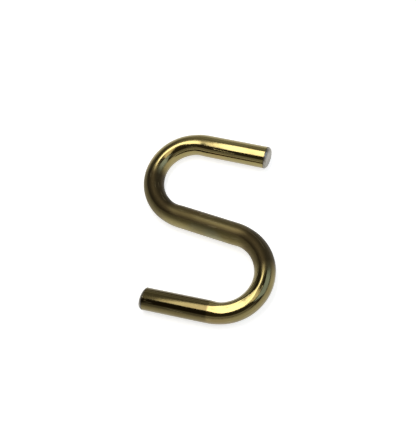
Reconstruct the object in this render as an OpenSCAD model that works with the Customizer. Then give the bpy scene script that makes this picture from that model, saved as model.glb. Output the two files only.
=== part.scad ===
// S hook, bent from one length of round wire.
// It lies flat: the wire rests on the plane z = 0, and +Y is the line of pull,
// through the centres of both bends. The origin is under the middle of the shank.

/* [Wire] */
// Diameter of the drawn wire
wire_d = 4.1; // [2:0.1:6]

/* [Bends] */
// Clear width inside each bend, from wire to wire
bend_inside_d = 10.9; // [8:0.1:24]
// Angle that the wire is turned through at each bend
bend_angle = 175; // [150:1:184]
// Loss of diameter where the wire is stretched round a bend
bend_thinning = 0.02; // [0.02:0.01:0.1]

/* [Straight runs] */
// Straight length of the shank, between the two bends
shank_length = 11.9; // [4:0.1:40]
// Straight length of the upper and of the lower arm, from bend to cut end
arm_length = 12.5; // [6:0.1:30]

/* [Cut ends] */
// Radius that tumbling leaves on the edge of each sheared end
edge_round = 0.6; // [0.1:0.05:0.9]

/* [Hidden] */
$fn = 96;

wire_r = wire_d / 2;
// Radius of the wire's centreline in a bend
bend_r = bend_inside_d / 2 + wire_r;
// Length by which each straight run laps over the end of its bend, so that they join
run_overlap = 0.05;
// Direction from the shank's middle to the upper bend's centre, with the shank on Y
pull_direction = atan2(shank_length / 2, bend_r);

// Half of a round bar's long section, with its last edge rounded, for turning about its axis
module rounded_bar_section(length) {
    square([wire_r, length - edge_round]);
    square([wire_r - edge_round, length]);
    translate([wire_r - edge_round, length - edge_round]) circle(r = edge_round);
}

// Straight run between the bends, along Y and centred on the origin
module shank() {
    rotate([90, 0, 0])
        cylinder(h = shank_length + 2 * run_overlap, d = wire_d, center = true);
}

// Bend about the origin, which starts at +X heading along +Y and turns anticlockwise
module bend() {
    rotate_extrude(angle = bend_angle) translate([bend_r, 0]) circle(d = wire_d - bend_thinning);
}

// Straight arm that leaves the bend at +X, heading along +Y, up to its own cut end
module arm() {
    translate([bend_r, -run_overlap, 0])
        rotate([-90, 0, 0])
            rotate_extrude() rounded_bar_section(arm_length + run_overlap);
}

// One hook, bent to the right of the shank's upper end
module hook() {
    translate([bend_r, shank_length / 2, 0])
        mirror([1, 0, 0]) {
            bend();
            rotate([0, 0, bend_angle]) arm();
        }
}

module wire_hook() {
    color([0.78, 0.70, 0.42])
        translate([0, 0, wire_r])
            rotate([0, 0, 90 - pull_direction]) {
                shank();
                hook();
                rotate([0, 0, 180]) hook();
            }
}

wire_hook();
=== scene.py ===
"""Looks of a brass-coloured S hook: one bent wire lying flat, lit like a small product shot.

The wire is swept along its own centreline, so its drawn lines, scratches and stains follow
the metal round the bends. All lengths are in metres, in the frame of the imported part.
"""

import logging
import math
from dataclasses import dataclass, field
from enum import Enum
from typing import Any

import bmesh
import bpy
from mathutils import Matrix, Vector

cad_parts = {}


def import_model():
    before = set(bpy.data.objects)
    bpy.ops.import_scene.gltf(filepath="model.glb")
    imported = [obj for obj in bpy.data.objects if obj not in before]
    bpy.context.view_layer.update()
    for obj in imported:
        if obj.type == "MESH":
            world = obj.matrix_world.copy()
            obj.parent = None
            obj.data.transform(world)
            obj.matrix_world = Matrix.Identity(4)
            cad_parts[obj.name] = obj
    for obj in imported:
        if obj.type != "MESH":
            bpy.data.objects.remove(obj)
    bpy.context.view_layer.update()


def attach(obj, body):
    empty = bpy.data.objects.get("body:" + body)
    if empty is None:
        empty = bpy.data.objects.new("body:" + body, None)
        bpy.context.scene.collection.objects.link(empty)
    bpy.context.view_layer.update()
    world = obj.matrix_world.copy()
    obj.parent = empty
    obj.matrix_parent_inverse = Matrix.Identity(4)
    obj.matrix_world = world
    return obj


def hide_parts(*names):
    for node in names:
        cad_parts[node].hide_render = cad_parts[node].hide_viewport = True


LOG = logging.getLogger("s_hook")
MM = 0.001
Colour = tuple[float, float, float]
Triple = tuple[float, float, float]
Band = tuple[float, float]


class Surface(Enum):
    """What a piece is dressed as."""

    WIRE = "yellow_plated_wire"
    PAPER = "pale_paper"


class Part(Enum):
    """Stretches of the wire, by the shape that its centreline has there."""

    SHANK = "shank"
    BEND = "bend"
    ARM = "arm"


def direction_of(azimuth: float, elevation: float) -> Vector:
    """Find the direction of a place in the room.

    Args:
        azimuth: Degrees anticlockwise from +X, seen from above.
        elevation: Degrees above the floor.

    Returns:
        The unit vector towards it.
    """
    turn, rise = math.radians(azimuth), math.radians(elevation)
    return Vector((math.cos(rise) * math.cos(turn), math.cos(rise) * math.sin(turn), math.sin(rise)))


class Term:
    """A socket of a node tree that takes part in Python arithmetic, each operator a Math node."""

    def __init__(self, sheet: "NodeSheet", socket: bpy.types.NodeSocket) -> None:
        """Keep the node sheet and the socket that carries the value."""
        self.sheet = sheet
        self.socket = socket

    def _math(self, operation: str, *values: Any) -> "Term":
        """Add one Math node.

        Args:
            operation: Blender's name of the operation.
            values: The node's inputs, as terms or numbers.

        Returns:
            The node's result.
        """
        return self.sheet.node("ShaderNodeMath", {"operation": operation}, dict(enumerate(values)))

    def __add__(self, other: Any) -> "Term":
        """Sum."""
        return self._math("ADD", self, other)

    def __radd__(self, other: Any) -> "Term":
        """Sum, reflected."""
        return self._math("ADD", other, self)

    def __sub__(self, other: Any) -> "Term":
        """Difference."""
        return self._math("SUBTRACT", self, other)

    def __rsub__(self, other: Any) -> "Term":
        """Difference, reflected."""
        return self._math("SUBTRACT", other, self)

    def __mul__(self, other: Any) -> "Term":
        """Product."""
        return self._math("MULTIPLY", self, other)

    def __rmul__(self, other: Any) -> "Term":
        """Product, reflected."""
        return self._math("MULTIPLY", other, self)

    def size(self) -> "Term":
        """The value without its sign."""
        return self._math("ABSOLUTE", self)

    def lowest(self, other: Any) -> "Term":
        """The smaller of two values."""
        return self._math("MINIMUM", self, other)

    def ramp(self, start: float, end: float) -> "Term":
        """Smooth step from 0 at start to 1 at end.

        Args:
            start: Value at which the result leaves 0.
            end: Value at which it reaches 1; it may be below start.

        Returns:
            The stepped value.
        """
        settings = {"interpolation_type": "SMOOTHSTEP"}
        values = {"Value": self, "From Min": start, "From Max": end, "To Min": 0.0, "To Max": 1.0}
        if end < start:
            values.update({"From Min": end, "From Max": start, "To Min": 1.0, "To Max": 0.0})
        return self.sheet.node("ShaderNodeMapRange", settings, values)


class NodeSheet:
    """The node tree of one material or of the world."""

    def __init__(self, tree: bpy.types.NodeTree) -> None:
        """Empty the tree and keep it."""
        self.tree = tree
        tree.nodes.clear()

    def node(self, kind: str, settings: dict[str, Any] | None = None,
             values: dict[Any, Any] | None = None, output: Any = 0) -> Term:
        """Add a node.

        Args:
            kind: Blender's node type.
            settings: Properties to set on it first.
            values: Inputs by name or number, as terms, numbers or colours.
            output: Name or number of the output to return.

        Returns:
            The chosen output as a term.
        """
        made = self.tree.nodes.new(kind)
        for name, value in (settings or {}).items():
            setattr(made, name, value)
        for key, value in (values or {}).items():
            if isinstance(value, Term):
                self.tree.links.new(value.socket, made.inputs[key])
            elif isinstance(value, tuple) and len(value) == 3 and made.inputs[key].type == "RGBA":
                made.inputs[key].default_value = (*value, 1.0)
            else:
                made.inputs[key].default_value = value
        return Term(self, made.outputs[output])

    def finish(self, kind: str, surface: Term) -> None:
        """Add the tree's output node and link the finished shader to it."""
        output = self.tree.nodes.new(kind)
        self.tree.links.new(surface.socket, output.inputs["Surface"])

    def mix(self, factor: Any, first: Any, second: Any) -> Term:
        """Mix two colours.

        Args:
            factor: How much of the second shows, from 0 to 1.
            first: Colour or term at factor 0.
            second: Colour or term at factor 1.

        Returns:
            The mixed colour.
        """
        settings = {"data_type": "RGBA", "blend_type": "MIX", "clamp_factor": True}
        return self.node("ShaderNodeMix", settings, {0: factor, 6: first, 7: second}, 2)

    def bump(self, relief: "Relief", height: Term, under: Term | None = None) -> Term:
        """Bend the normal to a height.

        Args:
            relief: How deep the height goes.
            height: The height.
            under: The normal that it lies on, if that isn't the plain one.

        Returns:
            The bent normal.
        """
        values = {"Strength": relief.strength, "Distance": relief.distance, "Height": height}
        if under is not None:
            values["Normal"] = under
        return self.node("ShaderNodeBump", None, values)


@dataclass(frozen=True)
class Relief:
    """Depth of a bump."""

    strength: float
    distance: float


@dataclass(frozen=True)
class Grain:
    """Noise over the straightened wire: across it, up, and drawn out along it."""

    drawn: Triple
    scale: float
    detail: float = 2.0
    roughness: float = 0.5
    distortion: float = 0.0
    shift: Triple = (0.0, 0.0, 0.0)

    def read(self, sheet: NodeSheet, place: Term) -> Term:
        """Add the noise to a node tree.

        Args:
            sheet: The node tree.
            place: The place on the straightened wire.

        Returns:
            The noise's value, about 0.5 on average.
        """
        mapping = {"Vector": place, "Scale": self.drawn, "Location": self.shift}
        drawn = sheet.node("ShaderNodeMapping", None, mapping)
        values = {"Vector": drawn, "Scale": self.scale, "Detail": self.detail,
                  "Roughness": self.roughness, "Distortion": self.distortion}
        return sheet.node("ShaderNodeTexNoise", {"noise_dimensions": "3D"}, values)


@dataclass(frozen=True)
class Tint:
    """A colour that shows up to a share where a grain runs through a band."""

    colour: Colour
    band: Band
    share: float

    def over(self, sheet: NodeSheet, grain: Term, colour: Any) -> Term:
        """Mix the tint over a colour.

        Args:
            sheet: The node tree.
            grain: The grain's value.
            colour: What lies under it.

        Returns:
            The tinted colour.
        """
        return sheet.mix(grain.ramp(*self.band) * self.share, colour, self.colour)


@dataclass(frozen=True)
class WireMarks:
    """Values that the wire's colour, roughness and relief share.

    The cut ends, the shank and the runs beside it are 1 where they lie and 0 elsewhere.
    """

    place: Term
    wide: Term
    high: Term
    along: Term
    stain: Term
    lines: Term
    scratch: Term
    shear: Term
    grit: Term
    cut: Term
    shank: Term
    beside: Term


@dataclass(frozen=True)
class WireFinish:
    """Yellow plating over drawn steel wire, tarnished and rubbed, and dull about the shank, with painted
    shade on the shank, the runs beside it, the lower bend and the lower arm.

    A zone's band is the two places between which the zone fades in. Places along the wire
    count from the shank's middle, positive to the upper end; those across and up count from
    the centreline. The cut's rim counts edge rounds back from the cut. A shade value is the
    share of the painted shade colour that a zone adds, darkening it as shade would.
    """

    plate: Colour = (0.275, 0.228, 0.096)
    tarnish: Tint = Tint((0.205, 0.155, 0.058), (0.42, 0.70), 0.55)
    rainbow_green: Tint = Tint((0.24, 0.27, 0.20), (0.56, 0.72), 0.35)
    rainbow_rose: Tint = Tint((0.31, 0.21, 0.09), (0.44, 0.30), 0.35)
    # Painted shade: the dark colour mixed in where the wire should look shaded or show a dim reflection.
    shade_colour: Colour = (0.056, 0.041, 0.018)
    rubbed: Colour = (0.36, 0.31, 0.17)
    rubbed_share: float = 0.5
    bare_end: Colour = (0.30, 0.285, 0.25)
    torn_end: Colour = (0.15, 0.135, 0.11)

    stains: Grain = Grain((1.0, 1.0, 0.35), 420.0, 4.0, 0.6, 0.4)
    patches: Grain = Grain((1.0, 1.0, 0.5), 190.0, shift=(0.013, 0.007, 0.0))
    drawn_lines: Grain = Grain((1.0, 1.0, 0.02), 5200.0, 3.0, 0.65)
    scratches: Grain = Grain((1.0, 1.0, 0.06), 2600.0, 2.0, 0.5, 0.8, (0.3, 0.1, 0.2))
    scratched: Band = (0.66, 0.72)
    waves: Grain = Grain((1.0, 1.0, 0.5), 700.0)
    shear_lines: Grain = Grain((1.0, 0.07, 0.0), 3400.0, 4.0, 0.6, 0.0, (0.21, 0.0, 0.0))
    sheared: Band = (0.42, 0.66)
    sheared_share: float = 0.6
    end_grit: Grain = Grain((1.0, 1.0, 0.0), 2100.0, 3.0, 0.6)
    gritty: Band = (0.5, 0.7)
    gritty_share: float = 0.3
    cut_rim: Band = (1.15, 0.55)

    # The shank zone carries both real dullness (roughness) and painted shade.
    shank_shift: float = 1.2 * MM
    shank_band: Band = (18.6 * MM, 14.0 * MM)
    beside_band: Band = (6.0 * MM, 9.5 * MM)
    # Painted shade over the runs beside the shank and over the shank, which dims their highlights.
    beside_shade: float = 0.42
    shank_shade: float = 0.08
    # Painted shade: a dark streak along the shank's top and one side, which darkens its highlight.
    streak_band: Band = (-1.15 * MM, -0.65 * MM)
    streak_shade: float = 0.84
    streak_ease: Band = (-0.45 * MM, 0.15 * MM)
    streak_eased: float = 0.22
    # Painted shade over the lower bend and the lower arm, darkest on the lower arm's top, which dims
    # their highlight.
    lower_bend_band: Band = (-14.0 * MM, -18.6 * MM)
    lower_bend_shade: float = 0.32
    lower_arm_band: Band = (-28.5 * MM, -29.4 * MM)
    lower_arm_top: Band = (0.2 * MM, 1.5 * MM)
    lower_arm_side: float = 0.25
    lower_arm_shade: float = 0.42
    # The pressed flat on top of the lower bend is left without painted shade, so its highlight shows at
    # full strength.
    unshaded_start: Band = (-18.5 * MM, -21.5 * MM)
    unshaded_stop: Band = (-29.2 * MM, -28.8 * MM)
    unshaded_top: Band = (1.25 * MM, 1.75 * MM)

    roughness: float = 0.08
    stain_roughness: float = 0.14
    stain_rough: Band = (0.40, 0.72)
    line_roughness: float = 0.05
    scratch_roughness: float = 0.08
    shank_roughness: float = 0.38
    beside_roughness: float = 0.50
    end_roughness: float = 0.38

    fine: Relief = Relief(0.16, 0.02 * MM)
    deep: Relief = Relief(0.30, 0.03 * MM)
    wavy: Relief = Relief(0.18, 0.05 * MM)
    shear_relief: float = 3.0

    def dress(self, piece: bpy.types.Object, sizes: "HookSizes") -> None:
        """Give the wire its material.

        Args:
            piece: The wire's mesh object, with the attribute "straight".
            sizes: The wire's sizes, which place the cut ends.
        """
        material = bpy.data.materials.new(Surface.WIRE.value)
        material.use_nodes = True
        sheet = NodeSheet(material.node_tree)
        marks = self._marks(sheet, sizes)
        values = {"Base Color": self._colour(sheet, marks), "Metallic": 1.0,
                  "Roughness": self._roughness(marks), "Normal": self._normal(sheet, marks)}
        sheet.finish("ShaderNodeOutputMaterial", sheet.node("ShaderNodeBsdfPrincipled", None, values))
        piece.data.materials.clear()
        piece.data.materials.append(material)

    def _marks(self, sheet: NodeSheet, sizes: "HookSizes") -> WireMarks:
        """Read the wire's place, its grains and its dull zones.

        Args:
            sheet: The node tree.
            sizes: The wire's sizes.

        Returns:
            The shared values.
        """
        place = sheet.node("ShaderNodeAttribute", {"attribute_name": HookWire.STRAIGHT}, None, "Vector")
        wide, high, along = (sheet.node("ShaderNodeSeparateXYZ", None, {0: place}, axis)
                             for axis in range(3))
        rim, full = (sizes.half_length - rounds * sizes.edge_round for rounds in self.cut_rim)
        shank = (along - self.shank_shift).size().ramp(*self.shank_band)
        return WireMarks(
            place=place, wide=wide, high=high, along=along,
            stain=self.stains.read(sheet, place),
            lines=self.drawn_lines.read(sheet, place),
            scratch=self.scratches.read(sheet, place).ramp(*self.scratched),
            shear=self.shear_lines.read(sheet, place),
            grit=self.end_grit.read(sheet, place),
            cut=along.size().ramp(rim, full),
            shank=shank,
            beside=shank * along.size().ramp(*self.beside_band),
        )

    def _painted_shade_share(self, marks: WireMarks) -> Term:
        """Find how much painted shade darkens the wire, darkest in a streak along the shank's top.

        Args:
            marks: The shared values.

        Returns:
            The share of the painted shade colour.
        """
        # Painted shade: a dark streak along the shank's top and one side, plus painted shade over the
        # shank and the runs beside it.
        streak = (marks.wide.ramp(*self.streak_band) * self.streak_shade
                  - marks.wide.ramp(*self.streak_ease) * self.streak_eased)
        # Painted shade on the lower arm, strongest on its top, where its highlight lies.
        top = marks.high.ramp(*self.lower_arm_top) * (1.0 - self.lower_arm_side) + self.lower_arm_side
        painted_shade = (marks.shank * (streak + self.shank_shade)
                + marks.beside * self.beside_shade
                + marks.along.ramp(*self.lower_bend_band) * self.lower_bend_shade
                + marks.along.ramp(*self.lower_arm_band) * top * self.lower_arm_shade)
        # Keep the painted shade off the pressed flat, so that its highlight stays bright.
        unshaded = (marks.along.ramp(*self.unshaded_start) * marks.along.ramp(*self.unshaded_stop)
                     * marks.high.ramp(*self.unshaded_top))
        return painted_shade * (1.0 - unshaded)

    def _colour(self, sheet: NodeSheet, marks: WireMarks) -> Term:
        """Colour the plating and the bare cut ends, with painted shade laid over the plating.

        Args:
            sheet: The node tree.
            marks: The shared values.

        Returns:
            The colour.
        """
        patches = self.patches.read(sheet, marks.place)
        colour = self.tarnish.over(sheet, marks.stain, self.plate)
        colour = self.rainbow_green.over(sheet, patches, colour)
        colour = self.rainbow_rose.over(sheet, patches, colour)
        # Painted shade: darkens the shank, the runs beside it, the lower bend and the lower arm.
        colour = sheet.mix(self._painted_shade_share(marks), colour, self.shade_colour)
        colour = sheet.mix(marks.scratch * self.rubbed_share, colour, self.rubbed)
        torn = (marks.shear.ramp(*self.sheared) * self.sheared_share
                + marks.grit.ramp(*self.gritty) * self.gritty_share)
        return sheet.mix(marks.cut, colour, sheet.mix(torn, self.bare_end, self.torn_end))

    def _roughness(self, marks: WireMarks) -> Term:
        """Make the shank, the runs beside it and the cut ends duller than the arms.

        Args:
            marks: The shared values.

        Returns:
            The roughness.
        """
        rise = self.stain_roughness - self.roughness
        roughness = marks.stain.ramp(*self.stain_rough) * rise + self.roughness
        roughness = roughness + marks.lines * self.line_roughness + marks.scratch * self.scratch_roughness
        roughness = roughness + marks.shank * (self.shank_roughness - self.roughness)
        roughness = roughness + marks.beside * (self.beside_roughness - self.shank_roughness)
        return roughness * (1.0 - marks.cut) + marks.cut * self.end_roughness

    def _normal(self, sheet: NodeSheet, marks: WireMarks) -> Term:
        """Lay drawn lines, shear marks, scratches and slow waves over the surface.

        Args:
            sheet: The node tree.
            marks: The shared values.

        Returns:
            The bent normal.
        """
        torn = marks.shear * self.shear_relief + marks.grit
        fine = sheet.bump(self.fine, marks.lines * (1.0 - marks.cut) + torn * marks.cut)
        deep = sheet.bump(self.deep, 1.0 - marks.scratch, fine)
        return sheet.bump(self.wavy, self.waves.read(sheet, marks.place), deep)


@dataclass(frozen=True)
class HookSizes:
    """Driving sizes of the hook, the same as the part's own."""

    wire_d: float = 4.1 * MM
    bend_inside_d: float = 10.9 * MM
    bend_angle: float = math.radians(175.0)
    shank_length: float = 11.9 * MM
    arm_length: float = 12.5 * MM
    edge_round: float = 0.6 * MM

    @property
    def wire_r(self) -> float:
        """Radius of the wire."""
        return self.wire_d / 2

    @property
    def bend_r(self) -> float:
        """Radius of the wire's centreline in a bend."""
        return self.bend_inside_d / 2 + self.wire_r

    @property
    def bend_length(self) -> float:
        """Length of the centreline in one bend."""
        return self.bend_r * self.bend_angle

    @property
    def half_length(self) -> float:
        """Length of the centreline from the shank's middle to one cut end."""
        return self.shank_length / 2 + self.bend_length + self.arm_length

    @property
    def turn(self) -> float:
        """Angle that turns the shank from +Y so that the line of pull lies on +Y."""
        return math.atan2(self.bend_r, self.shank_length / 2)

    @property
    def bend_centre(self) -> Vector:
        """Centre of the upper bend, with the shank on Y."""
        return Vector((self.bend_r, self.shank_length / 2, 0.0))

    @property
    def arm_heading(self) -> Vector:
        """Direction of the upper arm towards its cut end, with the shank on Y."""
        return Vector((math.sin(self.bend_angle), math.cos(self.bend_angle), 0.0))

    @property
    def arm_start(self) -> Vector:
        """Where the upper bend runs into the upper arm, with the shank on Y."""
        spoke = Vector((-math.cos(self.bend_angle), math.sin(self.bend_angle), 0.0))
        return self.bend_centre + self.bend_r * spoke


@dataclass
class HookWire:
    """The bent wire, swept from its upper cut end to its lower one.

    Its bends are a little flattened, a flat is pressed on top of the lower one, the lower arm
    is opened a little, and both ends are sheared at a slant. The two reaches count radii of
    the wire, and the slant spreads over a number of edge rounds.
    """

    STRAIGHT = "straight"
    MANY_SIDES = 8

    sizes: HookSizes
    finish: WireFinish
    sides: int = 96
    run_steps: int = 28
    shank_steps: int = 26
    bend_steps: int = 72
    shank_reach: float = 1.2
    merge_distance: float = 0.001 * MM
    rim_reach: float = 1.05
    edge_segments: int = 6
    cap_rings: int = 4
    cap_inset: float = 0.28 * MM
    flattening: float = 0.07
    ease: float = 3.0 * MM
    ease_lead: float = 0.25
    press_length: float = 9.6 * MM
    press_run_in: float = 3.4 * MM
    press_run_out: float = 2.1 * MM
    press_depth: float = 0.15 * MM
    press_tilt: float = math.radians(4.0)
    slant_rounds: float = 2.5
    upper_slant: float = math.radians(-4.0)
    lower_slant: float = math.radians(7.0)
    lower_opening: float = math.radians(2.5)
    kink: float = 0.9 * MM
    smooth_angle: float = math.radians(50.0)

    def build(self) -> bpy.types.Object:
        """Model the wire and place it in the part's frame.

        Returns:
            The wire's mesh object.
        """
        wire = self._start_ring()
        bpy.ops.object.mode_set(mode="EDIT")
        bpy.ops.mesh.select_all(action="SELECT")
        size = self.sizes
        centre, heading = size.bend_centre, size.arm_heading
        self._run(-heading * size.arm_length, self.run_steps)
        self._turn(centre, size.bend_angle)
        self._run(Vector((0.0, -size.shank_length, 0.0)), self.shank_steps)
        self._turn(-centre, -size.bend_angle)
        self._run(-heading * size.arm_length, self.run_steps)
        bpy.ops.mesh.select_all(action="SELECT")
        bpy.ops.mesh.remove_doubles(threshold=self.merge_distance)
        self._close_ends(wire)
        bpy.ops.mesh.select_all(action="SELECT")
        bpy.ops.mesh.normals_make_consistent(inside=False)
        bpy.ops.object.mode_set(mode="OBJECT")
        self._shape(wire)
        self._place(wire)
        bpy.ops.object.shade_smooth_by_angle(angle=self.smooth_angle)
        return wire

    def _start_ring(self) -> bpy.types.Object:
        """Add the open ring of the upper cut end, square to the upper arm.

        Returns:
            The new object, alone selected and active.
        """
        bpy.ops.object.select_all(action="DESELECT")
        size = self.sizes
        end = size.arm_start + size.arm_heading * size.arm_length
        tilt = math.pi - size.bend_angle
        bpy.ops.mesh.primitive_circle_add(vertices=self.sides, radius=size.wire_r, fill_type="NOTHING",
                                          location=end, rotation=(math.pi / 2, 0.0, tilt))
        wire = bpy.context.active_object
        wire.name = wire.data.name = "bent_wire"
        bpy.ops.object.transform_apply(location=True, rotation=True, scale=True)
        return wire

    @staticmethod
    def _run(shift: Vector, steps: int) -> None:
        """Extrude the selected ring straight on, in equal steps.

        Args:
            shift: The whole run.
            steps: Number of steps.
        """
        for _ in range(steps):
            bpy.ops.mesh.extrude_region_move(TRANSFORM_OT_translate={"value": shift / steps})

    def _turn(self, centre: Vector, angle: float) -> None:
        """Spin the selected ring about an upright axis.

        Args:
            centre: Point on the axis.
            angle: Angle of the bend, anticlockwise from above.
        """
        clockwise = -angle
        bpy.ops.mesh.spin(steps=self.bend_steps, angle=clockwise, center=centre, axis=(0.0, 0.0, 1.0))

    def _close_ends(self, wire: bpy.types.Object) -> None:
        """Cap both open ends, round their edges and ring the caps.

        Args:
            wire: The open tube, in edit mode.
        """
        size = self.sizes
        upper = size.arm_start + size.arm_heading * size.arm_length
        for end in (upper, -upper):
            self._select_near(wire, end, size.wire_r * self.rim_reach)
            bpy.ops.mesh.edge_face_add()
            bpy.ops.mesh.select_mode(type="EDGE")
            bpy.ops.mesh.bevel(offset=size.edge_round, segments=self.edge_segments, profile=0.5,
                               clamp_overlap=False)
            self._select_cap(wire, end)
            for _ in range(self.cap_rings):
                bpy.ops.mesh.inset(thickness=self.cap_inset, depth=0.0)
            bpy.ops.mesh.poke()

    @staticmethod
    def _select_near(wire: bpy.types.Object, place: Vector, reach: float) -> None:
        """Select only the open rim's vertices near a point.

        Args:
            wire: The wire, in edit mode.
            place: The point.
            reach: Greatest distance from it.
        """
        bpy.ops.mesh.select_mode(type="VERT")
        bpy.ops.mesh.select_all(action="DESELECT")
        mesh = bmesh.from_edit_mesh(wire.data)
        for vertex in mesh.verts:
            vertex.select = vertex.is_boundary and (vertex.co - place).length < reach
        mesh.select_flush_mode()
        bmesh.update_edit_mesh(wire.data)

    def _select_cap(self, wire: bpy.types.Object, place: Vector) -> None:
        """Select only the many-sided face whose middle is nearest to a point.

        Args:
            wire: The wire, in edit mode.
            place: The point.
        """
        bpy.ops.mesh.select_mode(type="FACE")
        bpy.ops.mesh.select_all(action="DESELECT")
        mesh = bmesh.from_edit_mesh(wire.data)
        caps = [face for face in mesh.faces if len(face.verts) > self.MANY_SIDES]
        nearest = min(caps, key=lambda face: (face.calc_center_median() - place).length)
        nearest.select = True
        mesh.faces.active = nearest
        bmesh.update_edit_mesh(wire.data)

    def _station(self, point: Vector) -> tuple[Part, float, Vector, Vector]:
        """Find where on the centreline a point belongs.

        Args:
            point: A place on the wire, with the shank on Y and its middle at the origin.

        Returns:
            The stretch, the signed distance along the centreline from the shank's middle
            (positive to the upper end), the centreline's point and its direction there.
        """
        size = self.sizes
        by_shank = abs(point.x) <= self.shank_reach * size.wire_r
        if by_shank and abs(point.y) <= size.shank_length / 2:
            return Part.SHANK, point.y, Vector((0.0, point.y, 0.0)), Vector((0.0, 1.0, 0.0))
        side = math.copysign(1.0, point.y if by_shank else point.x)
        near = point * side
        spoke = Vector((near.x, near.y, 0.0)) - size.bend_centre
        swept = math.pi - math.atan2(spoke.y, spoke.x)
        if swept > math.pi * 1.5:
            swept -= 2 * math.pi
        if 0.0 <= swept <= size.bend_angle:
            spoke.normalize()
            heading = Vector((math.sin(swept), math.cos(swept), 0.0))
            centre = size.bend_centre + spoke * size.bend_r
            along = size.shank_length / 2 + size.bend_r * swept
            return Part.BEND, side * along, side * centre, heading
        heading = size.arm_heading
        run = (near - size.arm_start).dot(heading)
        centre = size.arm_start + heading * run
        along = size.shank_length / 2 + size.bend_length + run
        return Part.ARM, side * along, side * centre, heading

    def _bend_share(self, along: float) -> float:
        """Find how far the wire is in a bend.

        Args:
            along: Signed distance along the centreline from the shank's middle.

        Returns:
            0 on a straight run, 1 in a bend, and between them where one eases into the other.
        """
        size = self.sizes
        start, stop = size.shank_length / 2, size.shank_length / 2 + size.bend_length
        inward = min(abs(along) - start, stop - abs(along)) / self.ease
        share = min(max(inward + self.ease_lead, 0.0), 1.0)
        return share * share * (3.0 - 2.0 * share)

    def _press(self, point: Vector, along: float, centre: Vector, across: Vector) -> Vector:
        """Move a point of the lower bend down to the flat that the bending tool left there.

        Args:
            point: A place on the wire.
            along: Its signed distance along the centreline from the shank's middle.
            centre: The centreline's point there.
            across: Direction across the wire there; the lower bend's centre lies against it.

        Returns:
            The place, on or below the flat.
        """
        left = self.sizes.shank_length / 2 + self.sizes.bend_length + along
        share = min((self.press_length - left) / self.press_run_in, left / self.press_run_out, 1.0)
        if share <= 0.0:
            return point
        deep = self.press_depth * share
        facing = Vector((0.0, 0.0, math.cos(self.press_tilt))) - across * math.sin(self.press_tilt)
        above = (point - centre).dot(facing) - self.sizes.wire_r + deep
        return point - facing * max(above, 0.0)

    def _slant(self, point: Vector, along: float, wide: float, heading: Vector) -> Vector:
        """Move a point near a cut end along the wire, as the slanted shear left it.

        Args:
            point: A place on an arm.
            along: Its signed distance along the centreline from the shank's middle.
            wide: Its distance across the wire.
            heading: The centreline's direction there, towards the upper end.

        Returns:
            The moved place.
        """
        reach = self.slant_rounds * self.sizes.edge_round
        past = abs(along) - (self.sizes.half_length - reach)
        if past <= 0.0:
            return point
        slant = self.upper_slant if along > 0 else self.lower_slant
        outward = heading if along > 0 else -heading
        return point + outward * math.tan(slant) * wide * min(past / reach, 1.0) ** 2

    def _open(self, point: Vector, along: float) -> Vector:
        """Turn a point of the lower arm outwards about the end of its bend.

        Args:
            point: A place on an arm.
            along: Its signed distance along the centreline from the shank's middle.

        Returns:
            The turned place, or the same one on the upper arm.
        """
        if along > 0.0:
            return point
        size = self.sizes
        run = -along - size.half_length + size.arm_length
        opened = Matrix.Rotation(self.lower_opening * min(run / self.kink, 1.0), 4, "Z")
        return opened @ (point + size.arm_start) - size.arm_start

    def _shape(self, wire: bpy.types.Object) -> None:
        """Store each point's place on the straightened wire, then move it to its true form.

        Args:
            wire: The evenly swept wire, with the shank on Y.
        """
        mesh = wire.data
        straight = mesh.attributes.new(self.STRAIGHT, "FLOAT_VECTOR", "POINT")
        for index, vertex in enumerate(mesh.vertices):
            part, along, centre, heading = self._station(vertex.co)
            across = Vector((heading.y, -heading.x, 0.0))
            offset = vertex.co - centre
            wide, high = offset.dot(across), offset.z
            straight.data[index].vector = (wide, high, along)
            flat = 1.0 - self.flattening * self._bend_share(along)
            moved = centre + across * wide * flat + Vector((0.0, 0.0, high))
            moved = self._press(moved, along, centre, across)
            if part is Part.ARM:
                moved = self._slant(moved, along, wide, heading)
                moved = self._open(moved, along)
            vertex.co = moved

    def _place(self, wire: bpy.types.Object) -> None:
        """Turn the wire to the line of pull and lay it on the floor, in its own mesh.

        Args:
            wire: The shaped wire.
        """
        lift = Matrix.Translation((0.0, 0.0, self.sizes.wire_r))
        wire.data.transform(lift @ Matrix.Rotation(self.sizes.turn, 4, "Z"))
        wire.data.update()

    def dress(self, wire: bpy.types.Object) -> None:
        """Give the wire its finish and tie it to the part's node.

        Args:
            wire: The placed wire.
        """
        self.finish.dress(wire, self.sizes)
        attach(wire, "root")
        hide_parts("wire_hook")


@dataclass(frozen=True)
class SoftBox:
    """A flat lamp that looks at a place on the hook, with its angles in degrees."""

    name: str
    azimuth: float
    elevation: float
    distance: float
    width: float
    depth: float
    radiance: float
    colour: Colour
    roll: float
    aim: Triple = (0.0, 0.0, 2.0 * MM)

    def add(self) -> bpy.types.Object:
        """Make the lamp.

        Returns:
            The lamp's object.
        """
        towards = direction_of(self.azimuth, self.elevation)
        data = bpy.data.lights.new(self.name, "AREA")
        data.shape = "RECTANGLE"
        data.size, data.size_y = self.width, self.depth
        data.energy = self.radiance * math.pi * self.width * self.depth
        data.color = self.colour
        lamp = bpy.data.objects.new(self.name, data)
        turned = towards.to_track_quat("Z", "Y").to_matrix().to_4x4()
        spin = Matrix.Rotation(math.radians(self.roll), 4, "Z")
        place = Vector(self.aim) + towards * self.distance
        lamp.matrix_world = Matrix.Translation(place) @ turned @ spin
        bpy.context.scene.collection.objects.link(lamp)
        return lamp


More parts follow.
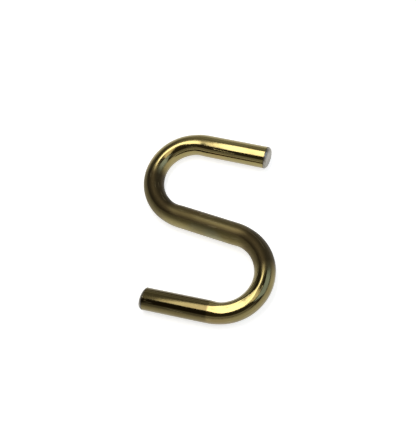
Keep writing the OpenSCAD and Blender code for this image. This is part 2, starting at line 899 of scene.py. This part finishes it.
@dataclass
class Studio:
    """The pale floor, the dim room, the lamps and the camera, with their angles in degrees."""

    floor_radius: float = 6.0
    floor_sides: int = 96
    wall_height: float = 1.0
    floor_colour: Colour = (0.80, 0.80, 0.80)
    floor_glow: float = 0.72
    surround: Colour = (0.055, 0.047, 0.036)
    horizon: Colour = (0.42, 0.42, 0.40)
    horizon_top: float = 30.0
    horizon_fade: float = 0.03
    dark_axis: float = 158.0
    dark_fade: Band = (0.85, 0.6)
    camera_azimuth: float = -85.68
    camera_elevation: float = 64.26
    camera_roll: float = -22.55
    camera_distance: float = 151.44 * MM
    camera_lens: float = 70.44
    camera_sensor: float = 36.0
    camera_clip: Band = (1.0 * MM, 50.0)
    camera_target: Triple = (0.775 * MM, 2.383 * MM, 2.05 * MM)
    lamps: list[SoftBox] = field(default_factory=lambda: [
        SoftBox("key", 119.3, 77.8, 0.15, 0.039, 0.154, 5.0, (1.0, 0.99, 0.96), 116.0,
                (0.0101, 0.0119, 0.0020)),
        SoftBox("gold_strip", -30.6, 74.0, 0.60, 0.137, 0.437, 1.9, (1.0, 0.93, 0.75), -21.6),
        SoftBox("cool_box", -20.3, 34.9, 0.60, 0.413, 0.485, 1.0, (0.75, 1.0, 1.4), -78.3),
        SoftBox("dim_box", 80.3, 53.6, 0.60, 0.299, 0.693, 0.3, (1.0, 1.0, 0.92), 166.2),
    ])

    def build(self) -> None:
        """Make the whole set."""
        self._floor()
        self._world()
        for lamp in self.lamps:
            lamp.add()
        self._camera()

    def _floor(self) -> None:
        """Make a round floor with a low pale wall at its rim, and dress it."""
        bpy.ops.object.select_all(action="DESELECT")
        bpy.ops.mesh.primitive_circle_add(vertices=self.floor_sides, radius=self.floor_radius,
                                          fill_type="NGON")
        floor = bpy.context.active_object
        floor.name = floor.data.name = "paper_floor"
        bpy.ops.object.mode_set(mode="EDIT")
        bpy.ops.mesh.select_all(action="SELECT")
        bpy.ops.mesh.select_mode(type="EDGE")
        bpy.ops.mesh.region_to_loop()
        bpy.ops.mesh.extrude_edges_move(TRANSFORM_OT_translate={"value": (0.0, 0.0, self.wall_height)})
        bpy.ops.object.mode_set(mode="OBJECT")
        material = bpy.data.materials.new(Surface.PAPER.value)
        material.use_nodes = True
        sheet = NodeSheet(material.node_tree)
        rays = [sheet.node("ShaderNodeLightPath", None, None, name)
                for name in ("Is Camera Ray", "Is Glossy Ray", "Is Transmission Ray")]
        seen = (rays[0] + rays[1] + rays[2]).lowest(1.0)
        matt = sheet.node("ShaderNodeBsdfDiffuse", None, {"Color": self.floor_colour})
        glow = sheet.node("ShaderNodeEmission", None, {"Strength": seen * self.floor_glow})
        both = sheet.node("ShaderNodeAddShader", None, {0: matt, 1: glow})
        sheet.finish("ShaderNodeOutputMaterial", both)
        floor.data.materials.append(material)

    def _world(self) -> None:
        """Give the room its dim colour, and a paler ring at the horizon with two dark gaps."""
        world = bpy.data.worlds.new("dim_room")
        world.use_nodes = True
        sheet = NodeSheet(world.node_tree)
        direction = sheet.node("ShaderNodeTexCoord", None, None, "Generated")
        height = sheet.node("ShaderNodeSeparateXYZ", None, {0: direction}, 2)
        top = math.sin(math.radians(self.horizon_top))
        axis = tuple(direction_of(self.dark_axis, 0.0))
        side = sheet.node("ShaderNodeVectorMath", {"operation": "DOT_PRODUCT"},
                          {0: direction, 1: axis}, "Value")
        ring = (height.ramp(top + self.horizon_fade, top - self.horizon_fade)
                * side.size().ramp(*self.dark_fade))
        colour = sheet.mix(ring, self.surround, self.horizon)
        dim = sheet.node("ShaderNodeBackground", None, {"Color": colour, "Strength": 1.0})
        sheet.finish("ShaderNodeOutputWorld", dim)
        bpy.context.scene.world = world

    def _camera(self) -> None:
        """Set the camera at the photograph's angle and framing."""
        towards = direction_of(self.camera_azimuth, self.camera_elevation)
        data = bpy.data.cameras.new("view")
        data.lens = self.camera_lens
        data.sensor_width = self.camera_sensor
        data.clip_start, data.clip_end = self.camera_clip
        camera = bpy.data.objects.new("view", data)
        place = Vector(self.camera_target) + towards * self.camera_distance
        upright = towards.to_track_quat("Z", "Y").to_matrix().to_4x4()
        roll = Matrix.Rotation(math.radians(self.camera_roll), 4, "Z")
        camera.matrix_world = Matrix.Translation(place) @ upright @ roll
        bpy.context.scene.collection.objects.link(camera)
        bpy.context.scene.camera = camera


def main() -> None:
    logging.basicConfig(level=logging.INFO, format="%(name)s: %(message)s")
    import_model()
    bpy.context.scene.view_settings.view_transform = "Standard"
    hook = HookWire(HookSizes(), WireFinish())
    wire = hook.build()
    hook.dress(wire)
    LOG.info("%s: %d faces", wire.name, len(wire.data.polygons))
    Studio().build()


if __name__ == "__main__":
    main()
